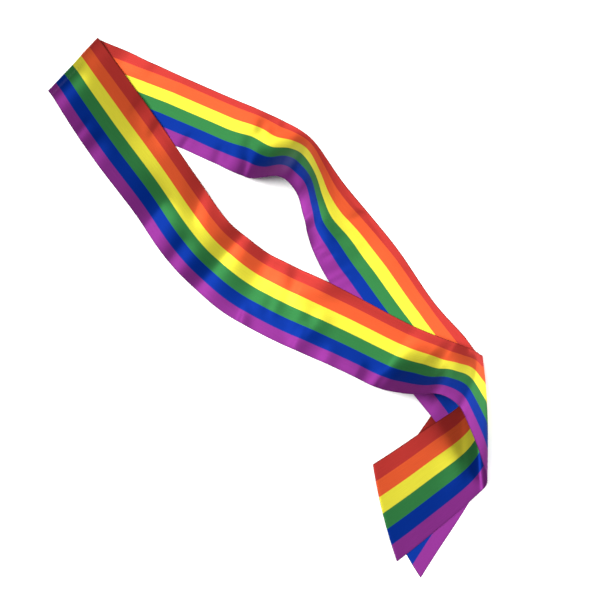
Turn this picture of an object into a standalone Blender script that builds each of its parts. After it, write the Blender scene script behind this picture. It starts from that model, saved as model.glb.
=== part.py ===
"""A six-stripe satin sash, laid down as a pointed loop with its two tails crossing at one side.

The sash is one straight strip of satin. Its middle is folded flat at the upper crease, and the
two runs of the loop go from there to the side, where each is turned under itself: the front run
rolls over a loose hump into the front tail, and the back run folds flat into the back tail.
Each stretch between two turns is a wall of cloth lofted through the sections of its table.

Metres, +Z up, X to the right and Y away from the viewer. The tables are in millimetres.
"""

import bpy
import numpy as np

MM = 0.001

# Driving sizes
WALL = 1.2 * MM
STRIPE_COUNT = 6
FACES_PER_SECTION = 4

# Satin colours from the red edge to the purple edge, as linear RGB
STRIPE_COLOURS = {
    "satin_red": (0.69, 0.05, 0.04),
    "satin_orange": (0.84, 0.12, 0.04),
    "satin_yellow": (0.88, 0.79, 0.05),
    "satin_green": (0.04, 0.27, 0.07),
    "satin_blue": (0.00, 0.04, 0.39),
    "satin_purple": (0.35, 0.04, 0.35),
}
SATIN_ROUGHNESS = 0.42
SATIN_SHEEN = 0.3

# Each row is one section of a stretch: where its red edge and its purple edge lie, with the height
# of the middle of the wall there. Where the cloth curves between its edges, four more sizes say how
# far it stands above a straight line at a third of the way to the purple edge and at two thirds, and
# how far the stripes there are moved over to the purple side.
COLUMNS = (
    "section", "red_x", "red_y", "red_z", "purple_x", "purple_y", "purple_z",
    "up_third", "up_two_thirds", "over_third", "over_two_thirds",
)

FRONT_RUN = (
    ("over the back run",   -252,  344,  4.4,  -315,  252,  3.2,   0,   0,   0,   0),
    ("red edge ripple",     -213,  286,  6.5,  -268,  185,  0.6,   0,   0,   0,   0),
    ("off the back run",    -170,  223,  2.6,  -222,  124,  0.6,   0,   0,   0,   0),
    ("before the bend",     -120,  145,  4.5,  -173,   54,  0.6,   0,   0,   0,   0),
    ("into the bend",        -93,  107,  6.0,  -139,   17,  0.6,   0,   0,   0,   0),
    ("middle of the bend",   -67,   82,  4.0,  -105,  -13,  0.6,   0,   0,   0,   0),
    ("out of the bend",      -37,   62,  1.6,   -70,  -35,  0.6,   0,   0,   0,   0),
    ("lower straight",        21,   31,  3.6,   -25,  -59,  0.6,   0,   0,   0,   0),
    ("onto the back run",     83,   -2,  4.0,    35,  -87,  2.2,   0,   0,   0,   0),
    ("before the lift",      142,  -36,  6.0,    91, -116,  5.5,   0,   0,   0,   0),
    ("lift",                 179,  -55, 13.0,   117, -129, 28.0,   0,   0,   0,   0),
    ("up the hump",          197,  -64, 18.0,   144, -137, 50.0,  -2,   2,   2,   1),
    ("top of the hump",      209,  -69, 17.0,   166, -141, 62.0,  -3,   4,   2,   1),
    ("over the hump",        217,  -72, 14.0,   182, -152, 65.0,   0,   5,   0,   0),
    ("down the hump",        222,  -74, 11.0,   195, -173, 58.0,   4,   8,  -2,  -1),
    ("near the side",        226,  -76,  8.5,   208, -201, 46.0,   6,   9,  -3,  -3),
    ("side roll",            229,  -79,  6.4,   219, -230, 29.0,   8,  11,  -5,  -5),
)

FRONT_TAIL = (
    ("side roll",            229,  -80,  6.2,   219, -231, 28.2,   8,  11,  -5,  -5),
    ("roll, under side",     226,  -92,  5.8,   221, -238, 13.0,   3,   5,  -3,  -3),
    ("under the hump",       215, -118,  5.2,   214, -246,  6.5,   0,   0,  -1,  -1),
    ("out from the hump",    199, -138,  5.0,   200, -258,  4.8,   0,   0,   0,   0),
    ("middle",               163, -163,  4.0,   170, -282,  3.2,   0,   0,   0,   0),
    ("lower part",           124, -189,  2.6,   136, -308,  2.3,   0,   0,   0,   0),
    ("cut end",               88, -212,  2.3,   113, -325,  2.3,   0,   0,   0,   0),
)

BACK_RUN = (
    ("under the front run", -216,  362,  0.6,  -267,  270,  0.6,   0,   0,   0,   0),
    ("clear of the front",  -137,  322,  0.6,  -188,  233,  0.6,   0,   0,   0,   0),
    ("before the hump",      -84,  296,  0.6,  -124,  202,  0.6,   0,   0,   0,   0),
    ("foot of the hump",     -53,  281,  0.6,   -76,  175,  7.0,   0,  -1,  -2,  -3),
    ("up the hump",          -28,  267,  1.0,   -53,  163, 27.0,  -4,  -5,  -1,  -2),
    ("high on the hump",      -4,  253,  2.0,   -31,  157, 43.0,  -6,   2,  -4,  -3),
    ("top of the hump",       17,  234,  3.0,   -15,  143, 52.0,  -4,  10,  -6,   0),
    ("over the hump",         37,  204,  3.0,    -3,  123, 54.0,  -8,  11,   2,  -7),
    ("down the hump",         56,  173,  2.0,     3,  103, 47.0, -10,   8,   6,  -3),
    ("low on the hump",       78,  142,  1.0,     9,   81, 33.0,  -6,   2,   3,   3),
    ("far foot",             103,  108,  0.6,    19,   57, 15.0,  -1,   3,   0,   0),
    ("flat again",           130,   69,  0.6,    41,   19,  2.0,   0,   1,   0,   0),
    ("under the front run",  171,   -1,  1.2,    96,  -62,  1.2,   0,   0,   0,   0),
    ("over the tail",        200,  -39,  2.4,   150, -138,  2.4,   0,   0,   0,   0),
    ("near the side",        213,  -57,  3.2,   200, -206,  3.2,   0,   0,   0,   0),
)

BACK_TAIL = (
    ("under the back run",   192, -110,  0.6,   204, -254,  0.6,   0,   0,   0,   0),
    ("out from under it",    159, -155,  0.6,   190, -274,  0.6,   0,   0,   0,   0),
    ("middle",               128, -197,  0.6,   165, -308,  0.6,   0,   0,   0,   0),
    ("cut end",               97, -240,  0.6,   140, -343,  0.6,   0,   0,   0,   0),
)

# A flat fold is a line on the surface, with the heights of the cloth above and below it. Each of its
# two stretches goes a quarter turn round it, in steps of these degrees, up to the gap between them.
FOLD_COLUMNS = ("red_x", "red_y", "purple_x", "purple_y", "upper_z", "lower_z")
UPPER_CREASE = (-291, 400, -354, 312, 4.6, 0.6)
SIDE_FOLD = (222, -71, 220, -234, 3.6, 0.6)
FOLD_TURNS = (0, 30, 60, 90)
SEAM_GAP = 0.4


def smooth_curve(stations, values, at):
    """Values at the stations carried to the places `at` by a natural cubic spline."""
    count = len(stations)
    gaps = np.diff(stations)
    slopes = np.diff(values, axis=0) / gaps[:, None]
    system = np.eye(count)
    right_side = np.zeros_like(values)
    for i in range(1, count - 1):
        system[i, i - 1 : i + 2] = gaps[i - 1], 2 * (gaps[i - 1] + gaps[i]), gaps[i]
        right_side[i] = 6 * (slopes[i] - slopes[i - 1])
    bends = np.linalg.solve(system, right_side)
    k = np.clip(np.searchsorted(stations, at) - 1, 0, count - 2)
    gap = gaps[k][:, None]
    after = (at - stations[k])[:, None]
    before = gap - after
    curved = (bends[k] * before**3 + bends[k + 1] * after**3) / (6 * gap)
    straight_before = (values[k] / gap - bends[k] * gap / 6) * before
    straight_after = (values[k + 1] / gap - bends[k + 1] * gap / 6) * after
    return curved + straight_before + straight_after


def level_curve(stations, values, at):
    """The same for heights, by a cubic that never passes beyond its two rows, so none dips."""
    gaps = np.diff(stations)
    slopes = np.diff(values, axis=0) / gaps[:, None]
    steep = np.zeros_like(values)
    steep[0], steep[-1] = slopes[0], slopes[-1]
    near, far = (2 * gaps[1:] + gaps[:-1])[:, None], (gaps[1:] + 2 * gaps[:-1])[:, None]
    same_way = slopes[1:] * slopes[:-1] > 0
    first = np.where(same_way, slopes[:-1], 1.0)
    second = np.where(same_way, slopes[1:], 1.0)
    steep[1:-1] = np.where(same_way, (near + far) / (near / first + far / second), 0.0)
    k = np.clip(np.searchsorted(stations, at) - 1, 0, len(stations) - 2)
    gap = gaps[k][:, None]
    t = ((at - stations[k]) / gaps[k])[:, None]
    rise = t * t * (3 - 2 * t)
    leaving = gap * t * (1 - t) ** 2 * steep[k]
    arriving = gap * t * t * (t - 1) * steep[k + 1]
    return values[k] * (1 - rise) + values[k + 1] * rise + leaving + arriving


def half_fold(fold, upper, next_row):
    """Sections from flat cloth to the outside of a fold, in line with the table row next to it.

    The cloth goes round a half circle as thick as the fold is high, and this is its upper or lower
    quarter. Each section is the fold's line, drawn back along the run of the cloth.
    """
    places = dict(zip(FOLD_COLUMNS, fold))
    red = np.array([places["red_x"], places["red_y"]], float)
    purple = np.array([places["purple_x"], places["purple_y"]], float)
    beside = dict(zip(COLUMNS, next_row))
    red_beside = np.array([beside["red_x"], beside["red_y"]])
    purple_beside = np.array([beside["purple_x"], beside["purple_y"]])
    run_of_cloth = (red_beside + purple_beside - red - purple) / 2
    along_fold = (purple - red) / np.linalg.norm(purple - red)
    inward = np.array([-along_fold[1], along_fold[0]])
    radius = (places["upper_z"] - places["lower_z"]) / 2
    middle = (places["upper_z"] + places["lower_z"]) / 2
    side = 1 if upper else -1
    rows = []
    for turn in np.radians(FOLD_TURNS):
        shift = run_of_cloth * radius * (1 - np.sin(turn)) / abs(run_of_cloth @ inward)
        height = middle + side * max(radius * np.cos(turn), SEAM_GAP / 2)
        rows.append(("fold", *(red + shift), height, *(purple + shift), height, 0, 0, 0, 0))
    return rows


def stretches():
    """The rows of each stretch, with the halves of the folds at its ends."""
    return {
        "front_run": half_fold(UPPER_CREASE, True, FRONT_RUN[0])[::-1] + list(FRONT_RUN),
        "front_tail": list(FRONT_TAIL),
        "back_run": half_fold(UPPER_CREASE, False, BACK_RUN[0])[::-1]
        + list(BACK_RUN)
        + half_fold(SIDE_FOLD, True, BACK_RUN[-1]),
        "back_tail": half_fold(SIDE_FOLD, False, BACK_TAIL[0])[::-1] + list(BACK_TAIL),
    }


def cloth_points(rows, faces_per_section=FACES_PER_SECTION, across=STRIPE_COUNT):
    """The middle of a stretch's wall in metres, as an array of sections by points across.

    Straight lines go from edge to edge, and two bumps are added to them, upwards and along the line:
    27/4 u(1 - u) squared, with its peak of 1 at a third of the way, and its mirror image.
    """
    table = np.array([row[1:] for row in rows], float) * MM
    red, purple, bumps = table[:, 0:3], table[:, 3:6], table[:, 6:10]
    steps = np.linalg.norm(np.diff(red, axis=0), axis=1)
    steps = (steps + np.linalg.norm(np.diff(purple, axis=0), axis=1)) / 2
    stations = np.concatenate([[0.0], np.cumsum(steps)])
    parts = np.arange(faces_per_section) / faces_per_section
    at = (stations[:-1, None] + steps[:, None] * parts).ravel()
    at = np.append(at, stations[-1])
    plan = smooth_curve(stations, np.hstack([red[:, :2], purple[:, :2]]), at)
    heights = level_curve(stations, np.hstack([red[:, 2:], purple[:, 2:], bumps]), at)
    red_edge = np.hstack([plan[:, 0:2], heights[:, 0:1]])[:, None]
    purple_edge = np.hstack([plan[:, 2:4], heights[:, 1:2]])[:, None]
    u = np.linspace(0.0, 1.0, across + 1)
    third, two_thirds = 6.75 * u * (1 - u) ** 2, 6.75 * u**2 * (1 - u)
    up = heights[:, 2:3] * third + heights[:, 3:4] * two_thirds
    over = heights[:, 4:5] * third + heights[:, 5:6] * two_thirds
    line = purple_edge - red_edge
    points = red_edge + line * u[:, None]
    points += line / np.linalg.norm(line, axis=2, keepdims=True) * over[:, :, None]
    points[:, :, 2] += up
    return points


def clear_scene():
    for thing in list(bpy.data.objects):
        bpy.data.objects.remove(thing, do_unlink=True)


def stripe_materials():
    """One satin material for each stripe, from the red edge to the purple edge."""
    materials = []
    for name, colour in STRIPE_COLOURS.items():
        material = bpy.data.materials.new(name)
        material.use_nodes = True
        shader = material.node_tree.nodes["Principled BSDF"]
        shader.inputs["Base Color"].default_value = (*colour, 1.0)
        shader.inputs["Roughness"].default_value = SATIN_ROUGHNESS
        shader.inputs["Metallic"].default_value = 0.0
        shader.inputs["Sheen Weight"].default_value = SATIN_SHEEN
        material.diffuse_color = (*colour, 1.0)
        materials.append(material)
    return materials


def make_stretch(name, rows, materials, collection):
    """A stretch of the sash: its middle surface, one column of faces a stripe, given a wall."""
    points = cloth_points(rows)
    sections, width = points.shape[:2]
    corner = np.arange(sections * width).reshape(sections, width)
    faces = np.stack(
        [corner[:-1, :-1], corner[1:, :-1], corner[1:, 1:], corner[:-1, 1:]], axis=-1
    )
    mesh = bpy.data.meshes.new(name)
    mesh.from_pydata(points.reshape(-1, 3).tolist(), [], faces.reshape(-1, 4).tolist())
    for material in materials:
        mesh.materials.append(material)
    stripe_of_face = np.tile(np.arange(STRIPE_COUNT), sections - 1)
    mesh.polygons.foreach_set("material_index", stripe_of_face.astype(np.int32))
    mesh.shade_smooth()
    sash = bpy.data.objects.new(name, mesh)
    collection.objects.link(sash)
    wall = sash.modifiers.new("Cloth wall", "SOLIDIFY")
    wall.thickness = WALL
    wall.offset = 0.0
    wall.use_even_offset = True
    return sash


def stand_on_origin(pieces):
    """Moves the meshes so that the origin is under the middle of the sash, where it rests."""
    bpy.context.view_layer.update()
    graph = bpy.context.evaluated_depsgraph_get()
    corners = []
    for sash in pieces:
        cloth = sash.evaluated_get(graph).data
        places = np.empty(len(cloth.vertices) * 3, np.float32)
        cloth.vertices.foreach_get("co", places)
        places = places.reshape(-1, 3)
        corners += [places.min(axis=0), places.max(axis=0)]
    low, high = np.min(corners, axis=0), np.max(corners, axis=0)
    middle = (low + high) / 2
    for sash in pieces:
        places = np.empty(len(sash.data.vertices) * 3, np.float32)
        sash.data.vertices.foreach_get("co", places)
        places = places.reshape(-1, 3) - np.array([middle[0], middle[1], low[2]])
        sash.data.vertices.foreach_set("co", places.astype(np.float32).ravel())
        sash.data.update()


def main():
    clear_scene()
    collection = bpy.data.collections.new("striped_sash")
    bpy.context.scene.collection.children.link(collection)
    materials = stripe_materials()
    stand_on_origin(
        [make_stretch(name, rows, materials, collection) for name, rows in stretches().items()]
    )


main()
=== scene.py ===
"""The looks of a six-stripe satin sash, laid out flat as a pointed loop with two crossing tails.

The sash is one long strip of satin. It is worked out here as two chains of sections that start at the
upper crease: the front chain is the front run and the tail that comes back over it, and the back chain is
the back run and the tail folded flat from it. Each chain's middle surface is a grid of places along the
strip by places across it, creases and edge ripples are added along its normals, and the grid gets a thin
wall. It is then cut where the sash turns, into one piece for each stretch that shows.

Metres, +Z up. The tables are in millimetres from an origin of their own, which the camera looks at.
"""

from __future__ import annotations

import logging
import math
from dataclasses import dataclass, field
from enum import Enum

import bpy
import numpy as np
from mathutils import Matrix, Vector

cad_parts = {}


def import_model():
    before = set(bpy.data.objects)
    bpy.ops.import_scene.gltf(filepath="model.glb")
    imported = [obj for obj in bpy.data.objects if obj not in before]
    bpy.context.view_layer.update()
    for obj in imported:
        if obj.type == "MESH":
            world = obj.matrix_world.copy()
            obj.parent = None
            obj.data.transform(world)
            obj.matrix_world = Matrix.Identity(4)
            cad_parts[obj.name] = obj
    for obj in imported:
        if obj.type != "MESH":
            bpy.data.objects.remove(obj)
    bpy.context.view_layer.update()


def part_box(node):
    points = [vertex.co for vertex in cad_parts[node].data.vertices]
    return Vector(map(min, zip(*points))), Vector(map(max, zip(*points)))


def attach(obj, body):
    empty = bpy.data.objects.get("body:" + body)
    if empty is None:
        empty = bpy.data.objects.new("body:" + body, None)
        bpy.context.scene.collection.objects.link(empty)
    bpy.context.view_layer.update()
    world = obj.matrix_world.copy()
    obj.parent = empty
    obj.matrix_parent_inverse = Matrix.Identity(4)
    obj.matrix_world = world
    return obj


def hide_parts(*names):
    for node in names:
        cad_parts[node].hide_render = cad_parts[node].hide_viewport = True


Array = np.ndarray
LOG = logging.getLogger("sash")
MM = 0.001
STRIP_WIDTH = 100.0  # millimetres

# Each row is one section of a chain: where its red edge and its purple edge lie, with the height of the
# middle of the cloth there. Where the cloth curves between its edges, four more sizes say how far it
# stands above a straight line at a third of the way to the purple edge and at two thirds, and how far
# the stripes there are moved over to the purple side.
COLUMNS = (
    "section", "red_x", "red_y", "red_z", "purple_x", "purple_y", "purple_z",
    "up_third", "up_two_thirds", "over_third", "over_two_thirds",
)

FRONT_RUN = (
    ("over the back run",   -252,  344,  4.4,  -315,  252,  3.2,   0,   0,   0,   0),
    ("red edge ripple",     -213,  286,  6.5,  -268,  185,  0.6,   0,   0,   0,   0),
    ("off the back run",    -170,  223,  2.6,  -222,  124,  0.6,   0,   0,   0,   0),
    ("before the bend",     -120,  145,  4.5,  -173,   54,  0.6,   0,   0,   0,   0),
    ("into the bend",        -93,  107,  6.0,  -139,   17,  0.6,   0,   0,   0,   0),
    ("middle of the bend",   -67,   82,  4.0,  -105,  -13,  0.6,   0,   0,   0,   0),
    ("out of the bend",      -37,   62,  1.6,   -70,  -35,  0.6,   0,   0,   0,   0),
    ("lower straight",        21,   31,  3.6,   -25,  -59,  0.6,   0,   0,   0,   0),
    ("onto the back run",     83,   -2,  4.0,    35,  -87,  2.2,   0,   0,   0,   0),
    ("before the lift",      142,  -36,  6.0,    91, -116,  5.5,   0,   0,   0,   0),
    ("lift",                 179,  -55, 13.0,   117, -129, 28.0,   0,   0,   0,   0),
    ("up the hump",          197,  -64, 18.0,   144, -137, 50.0,  -2,   2,   2,   1),
    ("top of the hump",      209,  -69, 17.0,   166, -141, 62.0,  -3,   4,   2,   1),
    ("over the hump",        217,  -72, 14.0,   182, -152, 65.0,   0,   5,   0,   0),
    ("down the hump",        222,  -74, 11.0,   195, -173, 58.0,   4,   8,  -2,  -1),
    ("near the side",        226,  -76,  8.5,   208, -201, 46.0,   6,   9,  -3,  -3),
    ("side roll",            229,  -79,  6.4,   219, -230, 29.0,   8,  11,  -5,  -5),
)

FRONT_TAIL = (
    ("roll, under side",     226,  -92,  5.8,   221, -238, 13.0,   3,   5,  -3,  -3),
    ("under the hump",       215, -118,  5.2,   214, -246,  6.5,   0,   0,  -1,  -1),
    ("out from the hump",    199, -138,  5.0,   200, -258,  4.8,   0,   0,   0,   0),
    ("middle",               163, -163,  4.0,   170, -282,  3.2,   0,   0,   0,   0),
    ("lower part",           124, -189,  2.6,   136, -308,  2.3,   0,   0,   0,   0),
    ("cut end",               88, -212,  2.3,   113, -325,  2.3,   0,   0,   0,   0),
)

BACK_RUN = (
    ("under the front run", -216,  362,  0.6,  -267,  270,  0.6,   0,   0,   0,   0),
    ("clear of the front",  -137,  322,  0.6,  -188,  233,  0.6,   0,   0,   0,   0),
    ("before the hump",      -84,  296,  0.6,  -124,  202,  0.6,   0,   0,   0,   0),
    ("foot of the hump",     -53,  281,  0.6,   -76,  175,  7.0,   0,  -1,  -2,  -3),
    ("up the hump",          -28,  267,  1.0,   -53,  163, 27.0,  -4,  -5,  -1,  -2),
    ("high on the hump",      -4,  253,  2.0,   -31,  157, 43.0,  -6,   2,  -4,  -3),
    ("top of the hump",       17,  234,  3.0,   -15,  143, 52.0,  -4,  10,  -6,   0),
    ("over the hump",         37,  204,  3.0,    -3,  123, 54.0,  -8,  11,   2,  -7),
    ("down the hump",         56,  173,  2.0,     3,  103, 47.0, -10,   8,   6,  -3),
    ("low on the hump",       78,  142,  1.0,     9,   81, 33.0,  -6,   2,   3,   3),
    ("far foot",             103,  108,  0.6,    19,   57, 15.0,  -1,   3,   0,   0),
    ("flat again",           130,   69,  0.6,    41,   19,  2.0,   0,   1,   0,   0),
    ("under the front run",  171,   -1,  1.2,    96,  -62,  1.2,   0,   0,   0,   0),
    ("over the tail",        200,  -39,  2.4,   150, -138,  2.4,   0,   0,   0,   0),
    ("near the side",        213,  -57,  3.2,   200, -206,  3.2,   0,   0,   0,   0),
)

BACK_TAIL = (
    ("under the back run",   192, -110,  0.6,   204, -254,  0.6,   0,   0,   0,   0),
    ("out from under it",    159, -155,  0.6,   190, -274,  0.6,   0,   0,   0,   0),
    ("middle",               128, -197,  0.6,   165, -308,  0.6,   0,   0,   0,   0),
    ("cut end",               97, -240,  0.6,   140, -343,  0.6,   0,   0,   0,   0),
)

# A flat fold is a line on the surface, with the heights of the cloth above and below it
FOLD_COLUMNS = ("red_x", "red_y", "purple_x", "purple_y", "upper_z", "lower_z")
UPPER_CREASE = (-291, 400, -354, 312, 4.6, 0.6)
SIDE_FOLD = (222, -71, 220, -234, 3.6, 0.6)
FOLD_TURNS = (0, 30, 60, 90)  # degrees, from flat to the outside of the fold


def linear(hex_colour: str) -> tuple[float, float, float, float]:
    """An sRGB hex colour as linear RGBA.

    Args:
        hex_colour: six hex digits, such as "D8403A".

    Returns:
        The colour with an alpha of 1. Each channel goes through the sRGB curve.
    """
    channels = [int(hex_colour[i : i + 2], 16) / 255 for i in (0, 2, 4)]
    curved = [c / 12.92 if c <= 0.04045 else ((c + 0.055) / 1.055) ** 2.4 for c in channels]
    return (*curved, 1.0)


def smooth_curve(stations: Array, values: Array, at: Array) -> Array:
    """A natural cubic spline: the curve with no bend at its ends that goes through all the values.

    Args:
        stations: where the values are, rising.
        values: one row for each station.
        at: where the curve is wanted.

    Returns:
        One row for each place in `at`.
    """
    count = len(stations)
    gaps = np.diff(stations)
    slopes = np.diff(values, axis=0) / gaps[:, None]
    system = np.eye(count)
    right_side = np.zeros_like(values)
    inner = np.arange(1, count - 1)
    system[inner, inner - 1] = gaps[:-1]
    system[inner, inner] = 2 * (gaps[:-1] + gaps[1:])
    system[inner, inner + 1] = gaps[1:]
    right_side[1:-1] = 6 * np.diff(slopes, axis=0)
    bends = np.linalg.solve(system, right_side)
    k = np.clip(np.searchsorted(stations, at) - 1, 0, count - 2)
    gap = gaps[k][:, None]
    after = (at - stations[k])[:, None]
    before = gap - after
    curved = (bends[k] * before**3 + bends[k + 1] * after**3) / (6 * gap)
    straight_before = (values[k] / gap - bends[k] * gap / 6) * before
    straight_after = (values[k + 1] / gap - bends[k + 1] * gap / 6) * after
    return curved + straight_before + straight_after


def level_curve(stations: Array, values: Array, at: Array) -> Array:
    """A cubic whose slope at a station is the harmonic mean of its two sides' slopes, or none at a peak.

    It never passes beyond the two rows that it lies between, so cloth that lies on a surface stays on it.

    Args:
        stations: where the values are, rising.
        values: one row for each station.
        at: where the curve is wanted.

    Returns:
        One row for each place in `at`.
    """
    gaps = np.diff(stations)
    slopes = np.diff(values, axis=0) / gaps[:, None]
    steep = np.zeros_like(values)
    steep[0], steep[-1] = slopes[0], slopes[-1]
    near, far = (2 * gaps[1:] + gaps[:-1])[:, None], (gaps[1:] + 2 * gaps[:-1])[:, None]
    same_way = slopes[1:] * slopes[:-1] > 0
    first = np.where(same_way, slopes[:-1], 1.0)
    second = np.where(same_way, slopes[1:], 1.0)
    steep[1:-1] = np.where(same_way, (near + far) / (near / first + far / second), 0.0)
    k = np.clip(np.searchsorted(stations, at) - 1, 0, len(stations) - 2)
    gap = gaps[k][:, None]
    t = ((at - stations[k]) / gaps[k])[:, None]
    rise = t * t * (3 - 2 * t)
    leaving = gap * t * (1 - t) ** 2 * steep[k]
    arriving = gap * t * t * (t - 1) * steep[k + 1]
    return values[k] * (1 - rise) + values[k + 1] * rise + leaving + arriving


def smooth_step(low: float, high: float, values: Array) -> Array:
    """0 below `low`, 1 above `high`, and an S-curve between them: 3t squared less 2t cubed."""
    t = np.clip((values - low) / (high - low), 0.0, 1.0)
    return t * t * (3 - 2 * t)


class Layer(Enum):
    """The two stretches that meet at a fold, as the way that each lies from the fold's middle."""

    UPPER = 1
    LOWER = -1


def half_fold(fold: tuple, layer: Layer, next_row: tuple) -> list[tuple]:
    """Sections from flat cloth to the outside of a fold, in line with the table row next to it.

    The cloth goes round a half circle as thick as the fold is high, and this is its upper or lower
    quarter. Each section is the fold's line, drawn back along the run of the cloth by the circle's radius
    less its sine, and as high as its cosine.

    Args:
        fold: the fold's row.
        layer: which of the fold's two stretches this is.
        next_row: the section next to the fold, which says which way the cloth runs.

    Returns:
        The sections, the flat one first.
    """
    places = dict(zip(FOLD_COLUMNS, fold))
    red = np.array([places["red_x"], places["red_y"]], float)
    purple = np.array([places["purple_x"], places["purple_y"]], float)
    beside = dict(zip(COLUMNS, next_row))
    red_beside = np.array([beside["red_x"], beside["red_y"]])
    purple_beside = np.array([beside["purple_x"], beside["purple_y"]])
    run_of_cloth = (red_beside + purple_beside - red - purple) / 2
    along_fold = (purple - red) / np.linalg.norm(purple - red)
    inward = np.array([-along_fold[1], along_fold[0]])
    radius = (places["upper_z"] - places["lower_z"]) / 2
    middle = (places["upper_z"] + places["lower_z"]) / 2
    rows = []
    for turn in np.radians(FOLD_TURNS):
        shift = run_of_cloth * radius * (1 - np.sin(turn)) / abs(run_of_cloth @ inward)
        height = middle + layer.value * radius * np.cos(turn)
        rows.append(("fold", *(red + shift), height, *(purple + shift), height, 0, 0, 0, 0))
    return rows


@dataclass(frozen=True)
class Ridge:
    """A soft ridge across some of the strip, with one flank often longer than the other.

    Its crest's places at the two edges, the lengths of its near and far flanks, `rise` and `fall`, and its
    height are in millimetres. Where it doesn't reach both edges, its first and last places across are
    shares of the width, and it fades out there.
    """

    at_red: float
    at_purple: float
    rise: float
    fall: float
    height: float
    first: float = 0.0
    last: float = 1.0
    fade: float = 0.12

    def lift(self, along: Array, across: Array) -> Array:
        """Height times a bell curve of the distance from the ridge's line, faded at its two ends.

        Args:
            along: places along the strip, as a column.
            across: places across it as a share of the width, as a row.

        Returns:
            The lift at each place of the grid.
        """
        distance = along - self.at_red - (self.at_purple - self.at_red) * across
        bell = np.exp(-((distance / np.where(distance < 0, self.rise, self.fall)) ** 2))
        inside = np.ones_like(across)
        if self.first > 0:
            inside = smooth_step(self.first - self.fade, self.first + self.fade, across)
        if self.last < 1:
            inside = inside * (1 - smooth_step(self.last - self.fade, self.last + self.fade, across))
        return self.height * bell * inside


@dataclass(frozen=True)
class RedEdgeDroop:
    """A stretch where the red edge curls down. Sizes in millimetres."""

    start: float
    stop: float
    depth: float
    reach: float
    blend: float = 25.0

    def lift(self, along: Array, across: Array) -> Array:
        """Minus the depth times a bell curve of the distance from the edge, faded at both ends.

        Args:
            along: places along the strip, as a column.
            across: places across it as a share of the width, as a row.

        Returns:
            The lift at each place of the grid.
        """
        inside = smooth_step(self.start - self.blend, self.start + self.blend, along)
        inside = inside * (1 - smooth_step(self.stop - self.blend, self.stop + self.blend, along))
        from_edge = across * STRIP_WIDTH
        return -self.depth * inside * np.exp(-((from_edge / self.reach) ** 2))


# The front chain's ridges, from the upper crease to the cut end. The highest is the bend's: the flank that
# faces the crease shows as a dark bar across the stripes, and the one beyond it as a light bar.
FRONT_FORMS = (
    Ridge(8, 8, 6, 22, 2.4, last=0.38),
    Ridge(20, 18, 8, 18, 3.8, first=0.42),
    Ridge(83, 83, 6, 8, 1.0, first=0.78),
    Ridge(126, 112, 10, 18, 1.9, first=0.72),
    Ridge(134, 134, 9, 24, 1.5, last=0.22),
    Ridge(182, 182, 9, 26, 1.6, last=0.2),
    Ridge(262, 250, 40, 22, 5.0, first=0.5),
    Ridge(294, 330, 24, 16, 2.6, last=0.36),
    Ridge(322, 316, 12, 16, 1.6, first=0.6),
    Ridge(396, 370, 25, 34, 7.4),
    Ridge(432, 434, 5, 10, 1.2, first=0.82),
    Ridge(458, 444, 13, 14, 1.0, last=0.8),
    Ridge(462, 480, 18, 12, 1.5, last=0.34),
    Ridge(470, 470, 7, 9, 0.7, first=0.42, last=0.72),
    Ridge(489, 494, 8, 26, 1.5, first=0.14, last=0.46),
    Ridge(500, 508, 9, 12, 0.7, first=0.45, last=0.88),
    Ridge(510, 510, 26, 20, 1.8, last=0.2),
    Ridge(519, 519, 8, 14, 1.5, first=0.66),
    Ridge(530, 530, 9, 14, 1.0, first=0.42, last=0.8),
    Ridge(560, 562, 8, 12, 1.1, first=0.8),
    Ridge(598, 602, 30, 9, 1.7, first=0.78),
    Ridge(640, 640, 10, 10, 1.9, first=0.78),
    Ridge(700, 662, 12, 12, 1.0, first=0.3, last=0.8),
    Ridge(712, 712, 10, 12, 1.2, first=0.4),
    Ridge(735, 740, 12, 10, 1.4, first=0.5),
    Ridge(850, 858, 10, 22, 0.9, last=0.75),
    RedEdgeDroop(95, 290, 1.6, 9),
    RedEdgeDroop(340, 480, 1.8, 10),
    RedEdgeDroop(545, 725, 1.3, 9),
)

# The back chain's ridges, from the upper crease to the cut end
BACK_FORMS = (
    Ridge(56, 56, 30, 26, 2.4, last=0.24),
    Ridge(108, 108, 12, 20, 0.8, last=0.2),
    Ridge(208, 209, 8, 13, 1.5, first=0.76),
    Ridge(250, 254, 9, 9, 1.6, first=0.72),
    Ridge(284, 286, 12, 10, 1.4, first=0.42, last=0.8),
    Ridge(289, 289, 8, 6, 1.6, first=0.8),
    Ridge(305, 296, 14, 14, 2.4, first=0.1, last=0.42),
    Ridge(318, 318, 16, 9, 1.2, last=0.14),
    Ridge(447, 447, 8, 14, 1.5, first=0.8),
    Ridge(483, 483, 8, 9, 0.9, last=0.3),
    Ridge(499, 499, 4, 4, 0.8, first=0.88),
    Ridge(512, 512, 4, 5, 0.8, first=0.8, last=0.94),
    Ridge(514, 514, 9, 9, 0.9, first=0.3, last=0.56),
    Ridge(548, 548, 9, 10, 1.7, first=0.66),
    Ridge(726, 722, 8, 12, 1.2, first=0.66),
    RedEdgeDroop(400, 560, 1.2, 9),
)


# The stripes are printed a little out of line with the strip. Each row is a place along a chain in
# millimetres, then where the strip's red edge and its purple edge lie in the print, in percent of it.
FRONT_PRINT = (
    (0, -1, 98), (100, 0, 99), (300, 1, 99), (480, 1, 99), (640, 3, 100), (860, 0, 100), (970, -1, 101),
)
BACK_PRINT = (
    (0, -1, 98), (60, 1, 99), (100, 4, 100), (150, 7, 101), (300, 7, 101), (400, 6, 101),
    (490, 4, 102), (560, 7, 106), (640, 8, 107), (700, 5, 104), (800, 0, 100), (965, 0, 100),
)


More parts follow.
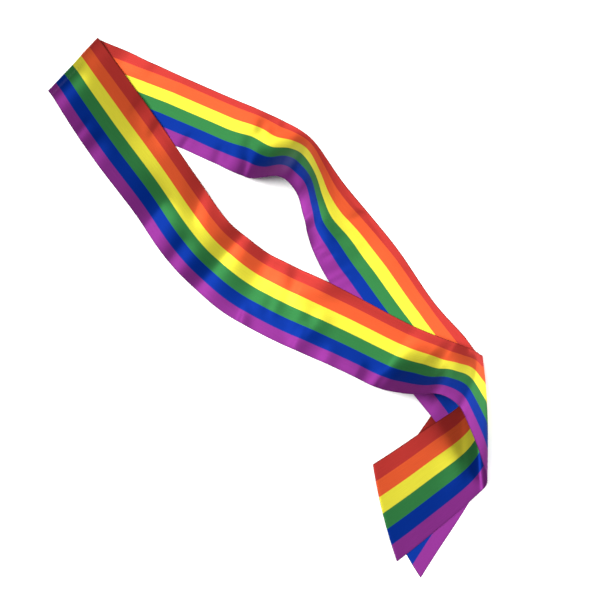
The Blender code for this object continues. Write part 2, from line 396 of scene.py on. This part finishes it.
@dataclass
class Chain:
    """One half of the strip, from the upper crease to its cut end, as a grid of points."""

    rows: list[tuple]
    turn: str
    forms: tuple[Ridge | RedEdgeDroop, ...]
    print_drift: tuple[tuple[float, float, float], ...]
    cut_bow: float
    bow_reach: float = 60.0
    step: float = 1.6
    columns: int = 49
    along: Array = field(init=False)
    across: Array = field(init=False)
    points: Array = field(init=False)
    turn_row: int = field(init=False)

    def __post_init__(self) -> None:
        """Works the grid out from the rows."""
        # Places across are closer together near the two edges, where the puckers are
        even = np.linspace(0.0, 1.0, self.columns)
        self.across = 0.5 * even + 0.25 * (1 - np.cos(np.pi * even))
        self.points = self._middle_surface()
        self._bow_cut_end()

    def _middle_surface(self) -> Array:
        """Straight lines from edge to edge, with two bumps added across the width.

        The tables' places go along the strip on smooth curves, and their heights and bumps on level ones.
        One bump is 27/4 u(1 - u) squared, with its peak of 1 at a third, and the other is its mirror
        image. Each is used upwards and along the line.

        Returns:
            The points, as rows along by columns across by 3.
        """
        table = np.array([row[1:] for row in self.rows], float)
        red, purple, bumps = table[:, 0:3], table[:, 3:6], table[:, 6:10]
        steps = np.linalg.norm(np.diff(red, axis=0), axis=1)
        steps = (steps + np.linalg.norm(np.diff(purple, axis=0), axis=1)) / 2
        stations = np.concatenate([[0.0], np.cumsum(steps)])
        counts = np.maximum(np.ceil(steps / self.step).astype(int), 2)
        at = [stations[k] + steps[k] * np.arange(n) / n for k, n in enumerate(counts)]
        self.along = np.append(np.concatenate(at), stations[-1])
        names = [row[0] for row in self.rows]
        self.turn_row = int(counts[: names.index(self.turn)].sum())
        plan = smooth_curve(stations, np.hstack([red[:, :2], purple[:, :2]]), self.along)
        heights = level_curve(stations, np.hstack([red[:, 2:], purple[:, 2:], bumps]), self.along)
        red_edge = np.hstack([plan[:, 0:2], heights[:, 0:1]])[:, None]
        purple_edge = np.hstack([plan[:, 2:4], heights[:, 1:2]])[:, None]
        u = self.across
        third, two_thirds = 6.75 * u * (1 - u) ** 2, 6.75 * u**2 * (1 - u)
        up = heights[:, 2:3] * third + heights[:, 3:4] * two_thirds
        over = heights[:, 4:5] * third + heights[:, 5:6] * two_thirds
        line = purple_edge - red_edge
        points = red_edge + line * u[:, None]
        points += line / np.linalg.norm(line, axis=2, keepdims=True) * over[:, :, None]
        points[:, :, 2] += up
        return points

    def _bow_cut_end(self) -> None:
        """Draws the last sections out along the strip, most at mid width: bow times 4u(1 - u).

        The way out is that of the last three steps.
        """
        from_end = self.along[-1] - self.along
        near = (1 - smooth_step(0.0, self.bow_reach, from_end))[:, None]
        heading = self.points[-1] - self.points[-4]
        heading = heading / np.linalg.norm(heading, axis=1, keepdims=True)
        bow = self.cut_bow * near * 4 * self.across * (1 - self.across)
        self.points += bow[:, :, None] * heading

    def print_share(self) -> Array:
        """Where each place of the grid lies in the stripes' print.

        Returns:
            A share for each place: 0 at the print's red edge and 1 at its purple one.
        """
        places, at_red, at_purple = np.array(self.print_drift, float).T
        red = np.interp(self.along, places, at_red)[:, None] / 100
        purple = np.interp(self.along, places, at_purple)[:, None] / 100
        return red + (purple - red) * self.across

    def lift(self) -> Array:
        """The ridges and drooping edges together.

        Returns:
            A height for each place of the grid.
        """
        along, across = self.along[:, None], self.across[None, :]
        total = np.zeros((len(self.along), len(self.across)))
        for form in self.forms:
            total += form.lift(along, across)
        return total


def grid_normals(points: Array) -> Array:
    """Unit normals of a grid: the cross product of its steps along and across.

    Args:
        points: rows along by columns across by 3.

    Returns:
        An array of the same shape.
    """
    normals = np.cross(np.gradient(points, axis=1), np.gradient(points, axis=0))
    return normals / np.linalg.norm(normals, axis=2, keepdims=True)


def add_node(
    tree: bpy.types.NodeTree, kind: str, links: dict | None = None, **settings: object
) -> bpy.types.Node:
    """Adds a node with its settings and links.

    Args:
        tree: the material's nodes.
        kind: the node's type without its "ShaderNode" prefix.
        links: input name or number to another node's output, or to a plain value.
        settings: the node's own properties.

    Returns:
        The node.
    """
    node = tree.nodes.new("ShaderNode" + kind)
    for name, value in settings.items():
        setattr(node, name, value)
    for name, value in (links or {}).items():
        if isinstance(value, bpy.types.NodeSocket):
            tree.links.new(value, node.inputs[name])
        else:
            node.inputs[name].default_value = value
    return node


@dataclass(frozen=True)
class StripedSatin:
    """Polyester satin, woven with long warp floats side by side along the strip, then dyed in stripes.

    To the eye, the floats give a sheen that is narrow along the strip and broad across it. So each rise
    and fall of the cloth shows as a dark or light bar across all the stripes. The sheen takes the dye's
    colour, because the fibres pass the light through themselves, and a high metallic value stands for
    that. The colour is made darker within a millimetre or two of the long edges and of the cut ends.
    Sizes are in metres, apart from the distances of the darker edge, which are in millimetres as its
    attribute is.
    """

    name: str = "striped_polyester_satin"
    # Red, orange, yellow, green, blue and purple
    stripes: tuple[str, ...] = ("A8302B", "CA5029", "CEC636", "2A6B38", "00277D", "752776")
    roughness: float = 0.52
    anisotropic: float = 0.88
    metallic: float = 0.65
    specular: float = 0.12
    strip_width: float = STRIP_WIDTH * MM
    # Real floats lie several times closer, too close to show, so they are drawn coarser
    float_spacing: float = 0.5 * MM
    float_length: float = 25 * MM
    float_tones: tuple[float, float] = (0.93, 1.05)
    float_depth: float = 0.1 * MM
    float_strength: float = 0.12
    border_blur: float = 0.4 * MM
    edge_span: tuple[float, float] = (0.2, 1.6)
    edge_tone: float = 0.7

    def material(self) -> bpy.types.Material:
        """Stripes and floats from the UV map, and a darker edge from an attribute.

        Returns:
            The material.
        """
        material = bpy.data.materials.new(self.name)
        material.use_nodes = True
        tree = material.node_tree
        shader = tree.nodes["Principled BSDF"]
        strip = add_node(tree, "UVMap", uv_map="strip").outputs[0]
        split = add_node(tree, "SeparateXYZ", {0: strip})
        ramp = add_node(tree, "ValToRGB", {0: split.outputs["Y"]})
        self._stripe_stops(ramp.color_ramp)
        floats = self._floats(tree, strip)
        # Nearly all of the noise lies between 0.3 and 0.7
        dark, light = self.float_tones
        tones = {0: floats, "From Min": 0.3, "From Max": 0.7, "To Min": dark, "To Max": light}
        shade = add_node(tree, "MapRange", tones)
        from_edge = add_node(tree, "Attribute", attribute_name="from_edge")
        start, stop = self.edge_span
        inward = {0: from_edge.outputs["Fac"], "From Min": start, "From Max": stop, "To Min": self.edge_tone}
        # The colour is darkened to edge_tone within a millimetre or two of the long edges and the cut ends
        edge_darkening = add_node(tree, "MapRange", inward)
        tone = add_node(tree, "Math", {0: shade.outputs[0], 1: edge_darkening.outputs[0]}, operation="MULTIPLY")
        dyed = {0: ramp.outputs[0], "Scale": tone.outputs[0]}
        colour = add_node(tree, "VectorMath", dyed, operation="SCALE")
        tree.links.new(colour.outputs[0], shader.inputs["Base Color"])
        relief = {"Height": floats, "Strength": self.float_strength, "Distance": self.float_depth}
        bump = add_node(tree, "Bump", relief)
        tree.links.new(bump.outputs[0], shader.inputs["Normal"])
        tangent = add_node(tree, "Tangent", direction_type="UV_MAP", uv_map="strip")
        tree.links.new(tangent.outputs[0], shader.inputs["Tangent"])
        shader.inputs["Roughness"].default_value = self.roughness
        shader.inputs["Anisotropic"].default_value = self.anisotropic
        # The tangent runs along the floats, and their sheen spreads across them, a quarter turn away
        shader.inputs["Anisotropic Rotation"].default_value = 0.25
        shader.inputs["Metallic"].default_value = self.metallic
        shader.inputs["Specular IOR Level"].default_value = self.specular
        return material

    def _floats(self, tree: bpy.types.NodeTree, strip: bpy.types.NodeSocket) -> bpy.types.NodeSocket:
        """Noise drawn out along the strip, so that its grains are as long and as wide as the floats.

        Args:
            tree: the material's nodes.
            strip: the UV map's output, in which both directions are in strip widths.

        Returns:
            The noise's value.
        """
        grains = (self.strip_width / self.float_length, self.strip_width / self.float_spacing, 1)
        stretched = add_node(tree, "Mapping", {"Vector": strip, "Scale": grains})
        noise = add_node(tree, "TexNoise", {"Vector": stretched.outputs[0], "Scale": 1.0, "Detail": 2.0})
        return noise.outputs[0]

    def _stripe_stops(self, ramp: bpy.types.ColorRamp) -> None:
        """Two stops at each border, a blur apart, and the stripe's colour between them.

        Args:
            ramp: the colour ramp, which has its first two stops.
        """
        ramp.interpolation = "LINEAR"
        count = len(self.stripes)
        blur = self.border_blur / self.strip_width / 2
        ramp.elements[0].position, ramp.elements[0].color = 0.0, linear(self.stripes[0])
        ramp.elements[1].position, ramp.elements[1].color = 1.0, linear(self.stripes[-1])
        for k in range(1, count):
            before = ramp.elements.new(k / count - blur)
            before.color = linear(self.stripes[k - 1])
            after = ramp.elements.new(k / count + blur)
            after.color = linear(self.stripes[k])


@dataclass
class Sash:
    """The sash's cloth: both chains joined at the upper crease, walled, and cut into four stretches.

    The origin is in metres and the other sizes in millimetres. The solids' wall is thicker than this
    cloth, so the cloth lies lower than their middle surface by half of the difference.
    """

    finish: StripedSatin
    origin: Vector
    thickness: float = 0.5
    solid_wall: float = 1.2
    edge_bead: float = 0.35
    bead_width: float = 1.2
    front: Chain = field(init=False)
    back: Chain = field(init=False)

    def __post_init__(self) -> None:
        """Makes the two chains from their tables."""
        self.front = Chain(
            rows=half_fold(UPPER_CREASE, Layer.UPPER, FRONT_RUN[0])[::-1] + list(FRONT_RUN + FRONT_TAIL),
            turn="side roll",
            forms=FRONT_FORMS,
            print_drift=FRONT_PRINT,
            cut_bow=3.0,
        )
        side_upper = half_fold(SIDE_FOLD, Layer.UPPER, BACK_RUN[-1])
        side_lower = half_fold(SIDE_FOLD, Layer.LOWER, BACK_TAIL[0])[::-1]
        side_lower[0] = ("side fold", *side_lower[0][1:])
        self.back = Chain(
            rows=half_fold(UPPER_CREASE, Layer.LOWER, BACK_RUN[0])[::-1]
            + list(BACK_RUN)
            + side_upper[:-1]
            + side_lower
            + list(BACK_TAIL),
            turn="side fold",
            forms=BACK_FORMS,
            print_drift=BACK_PRINT,
            cut_bow=6.0,
        )

    def surface(self) -> tuple[Array, Array, Array, Array]:
        """The whole strip, from the back tail's cut end to the front tail's.

        Returns:
            The points in millimetres, their normals out of the face that is up on the front run, the
            share of the print at each point, and the places along the strip from the upper crease,
            negative on the back chain.
        """
        base = np.concatenate([self.back.points[:0:-1], self.front.points])
        lift = np.concatenate([self.back.lift()[:0:-1], self.front.lift()])
        along = np.concatenate([-self.back.along[:0:-1], self.front.along])
        normals = grid_normals(base)
        # The back chain lies face down, so its lift goes against the strip's own normals
        upward = np.where(along < 0, -1.0, 1.0)[:, None, None]
        points = base + normals * upward * lift[:, :, None]
        points[:, :, 2] -= (self.solid_wall - self.thickness) / 2
        # No fold or drooping edge goes into the floor
        points[:, :, 2] = np.maximum(points[:, :, 2], self.thickness / 2)
        printed = np.concatenate([self.back.print_share()[:0:-1], self.front.print_share()])
        return points, grid_normals(points), printed, along

    def build(self) -> list[bpy.types.Object]:
        """Cuts the strip at its three turns and makes each stretch a closed shell.

        Returns:
            The four objects.
        """
        points, normals, printed, along = self.surface()
        material = self.finish.material()
        crease = len(self.back.points) - 1
        side_fold = crease - self.back.turn_row
        side_roll = crease + self.front.turn_row
        last = len(points) - 1
        cuts = {
            "back_tail": (0, side_fold),
            "back_run": (side_fold, crease),
            "front_run": (crease, side_roll),
            "front_tail": (side_roll, last),
        }
        pieces = []
        for node, (first, end) in cuts.items():
            rows = slice(first, end + 1)
            ends = (first == 0, end == last)
            grid = (points[rows], normals[rows], printed[rows], along[rows])
            piece = self._shell(node + "_satin", grid, ends)
            piece.data.materials.append(material)
            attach(piece, "root")
            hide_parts(node)
            pieces.append(piece)
        return pieces

    def _shell(
        self, name: str, grid: tuple[Array, Array, Array, Array], ends: tuple[bool, bool]
    ) -> bpy.types.Object:
        """A closed shell on a grid: an upper and a lower grid joined round their rim.

        Half the thickness is laid off on each side along the normals, and the free edges carry a small
        bead, whose thickness falls off from the edge as a bell curve.

        Args:
            name: the object's name.
            grid: the stretch's rows of what `surface` returns.
            ends: whether the first row is a cut end, and whether the last one is.

        Returns:
            The object, with the UV map "strip" and the attribute "from_edge".
        """
        points, normals, printed, along = grid
        rows, columns = points.shape[:2]
        across = self.front.across
        from_edge = np.minimum(across, 1 - across) * STRIP_WIDTH * np.ones((rows, 1))
        for at_end, cut_row in zip(ends, (0, rows - 1)):
            if at_end:
                distance = np.abs(along - along[cut_row])[:, None] * np.ones((1, columns))
                from_edge = np.minimum(from_edge, distance)
        half = self.thickness / 2 + self.edge_bead / 2 * np.exp(-((from_edge / self.bead_width) ** 2))
        upper = points + normals * half[:, :, None]
        lower = points - normals * half[:, :, None]
        vertices = np.concatenate([upper.reshape(-1, 3), lower.reshape(-1, 3)]) * MM
        # The beads would sink into the floor, so they are flat beneath
        vertices[:, 2] = np.maximum(vertices[:, 2], 0.0)
        vertices += np.array(self.origin)
        number = np.arange(rows * columns).reshape(rows, columns)
        top = np.stack([number[:-1, :-1], number[:-1, 1:], number[1:, 1:], number[1:, :-1]], axis=-1)
        top = top.reshape(-1, 4)
        under = top[:, ::-1] + rows * columns
        rim = np.concatenate([number[:-1, 0], number[-1, :-1], number[:0:-1, -1], number[0, :0:-1]])
        onward = np.roll(rim, -1)
        sides = np.stack([rim, onward, onward + rows * columns, rim + rows * columns], axis=-1)
        faces = np.concatenate([top, under, sides])
        mesh = bpy.data.meshes.new(name)
        mesh.from_pydata(vertices.tolist(), [], faces.tolist())
        loops = np.empty(len(mesh.loops), np.int32)
        mesh.loops.foreach_get("vertex_index", loops)
        uv = np.stack([along[:, None] / STRIP_WIDTH + 0 * across, printed], axis=-1)
        uv = np.tile(uv.reshape(-1, 2), (2, 1))
        mesh.uv_layers.new(name="strip").data.foreach_set("uv", uv[loops].astype(np.float32).ravel())
        edge = mesh.attributes.new("from_edge", "FLOAT", "POINT")
        edge.data.foreach_set("value", np.tile(from_edge.ravel(), 2).astype(np.float32))
        mesh.shade_smooth()
        mesh.update()
        piece = bpy.data.objects.new(name, mesh)
        bpy.context.scene.collection.objects.link(piece)
        return piece


@dataclass(frozen=True)
class WhiteBoard:
    """Card coated matt white: to the eye, an even white with no sheen and a mottle that hardly shows."""

    name: str = "matt_white_board"
    colour: str = "F4F4F2"
    roughness: float = 0.9
    mottle_size: float = 25 * MM
    mottle_tone: float = 0.97

    def material(self) -> bpy.types.Material:
        """The board's colour times the mottle, which is noise on Object coordinates.

        Returns:
            The material.
        """
        material = bpy.data.materials.new(self.name)
        material.use_nodes = True
        tree = material.node_tree
        shader = tree.nodes["Principled BSDF"]
        place = add_node(tree, "TexCoord")
        grain = {"Vector": place.outputs["Object"], "Scale": 1 / self.mottle_size}
        noise = add_node(tree, "TexNoise", grain)
        shade = add_node(tree, "MapRange", {0: noise.outputs[0], "To Min": self.mottle_tone, "To Max": 1.0})
        coat = {0: linear(self.colour)[:3], "Scale": shade.outputs[0]}
        colour = add_node(tree, "VectorMath", coat, operation="SCALE")
        tree.links.new(colour.outputs[0], shader.inputs["Base Color"])
        shader.inputs["Roughness"].default_value = self.roughness
        return material


@dataclass
class Studio:
    """A pale floor, two softboxes to the right and the left of the sash, and a weak even fill.

    The softboxes' places are in metres from the target.
    """

    target: Vector
    board: WhiteBoard = WhiteBoard()
    elevation: float = 70.0
    distance: float = 1161.3 * MM
    focal_share: float = 1.5
    floor_size: float = 8.0
    right_power: float = 78.0
    left_power: float = 100.0
    box_size: float = 1.4
    right_from: tuple[float, float, float] = (1.8, -0.42, 1.85)
    left_from: tuple[float, float, float] = (-1.2, -0.42, 2.2)
    fill: float = 0.13

    def floor(self) -> bpy.types.Object:
        """A square of white board round the origin.

        Returns:
            The floor.
        """
        half = self.floor_size / 2
        corners = [(-half, -half, 0), (half, -half, 0), (half, half, 0), (-half, half, 0)]
        mesh = bpy.data.meshes.new("floor")
        mesh.from_pydata(corners, [], [(0, 1, 2, 3)])
        mesh.materials.append(self.board.material())
        floor = bpy.data.objects.new("floor", mesh)
        bpy.context.scene.collection.objects.link(floor)
        return floor

    def camera(self) -> bpy.types.Object:
        """A camera that looks at the target, from the front and `elevation` degrees up.

        Returns:
            The camera.
        """
        data = bpy.data.cameras.new("camera")
        data.lens = data.sensor_width * self.focal_share
        camera = bpy.data.objects.new("camera", data)
        up = math.radians(self.elevation)
        back = Vector((0.0, -math.cos(up), math.sin(up)))
        camera.location = self.target + back * self.distance
        camera.rotation_euler = (-back).to_track_quat("-Z", "Y").to_euler()
        bpy.context.scene.collection.objects.link(camera)
        bpy.context.scene.camera = camera
        return camera

    def lights(self) -> None:
        """Two square softboxes that face the sash, and the fill as an even white world."""
        boxes = {
            "right_softbox": (self.right_from, self.right_power),
            "left_softbox": (self.left_from, self.left_power),
        }
        for name, (place, power) in boxes.items():
            data = bpy.data.lights.new(name, "AREA")
            data.shape = "SQUARE"
            data.size = self.box_size
            data.energy = power
            softbox = bpy.data.objects.new(name, data)
            softbox.location = self.target + Vector(place)
            softbox.rotation_euler = (-Vector(place)).to_track_quat("-Z", "Y").to_euler()
            bpy.context.scene.collection.objects.link(softbox)
        world = bpy.data.worlds.new("even_fill")
        world.use_nodes = True
        background = world.node_tree.nodes["Background"]
        background.inputs["Color"].default_value = (1, 1, 1, 1)
        background.inputs["Strength"].default_value = self.fill
        bpy.context.scene.world = world
        # The plain view keeps the dyes as strong as they are, where the default one greys them
        bpy.context.scene.view_settings.view_transform = "Standard"


def table_origin() -> Vector:
    """The tables' origin in the part's frame, from the corner of the back tail's box at its cut end.

    Returns:
        The point on the floor, in metres.
    """
    low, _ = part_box("back_tail")
    cut = dict(zip(COLUMNS, BACK_TAIL[-1]))
    return Vector((low.x - cut["red_x"] * MM, low.y - cut["purple_y"] * MM, 0.0))


def main() -> None:
    """Loads the frame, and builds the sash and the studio."""
    logging.basicConfig(level=logging.INFO, format="%(name)s: %(message)s")
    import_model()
    origin = table_origin()
    studio = Studio(target=origin)
    studio.camera()
    studio.floor()
    studio.lights()
    LOG.info("floor, camera and lights are in place")
    Sash(finish=StripedSatin(), origin=origin).build()


if __name__ == "__main__":
    main()
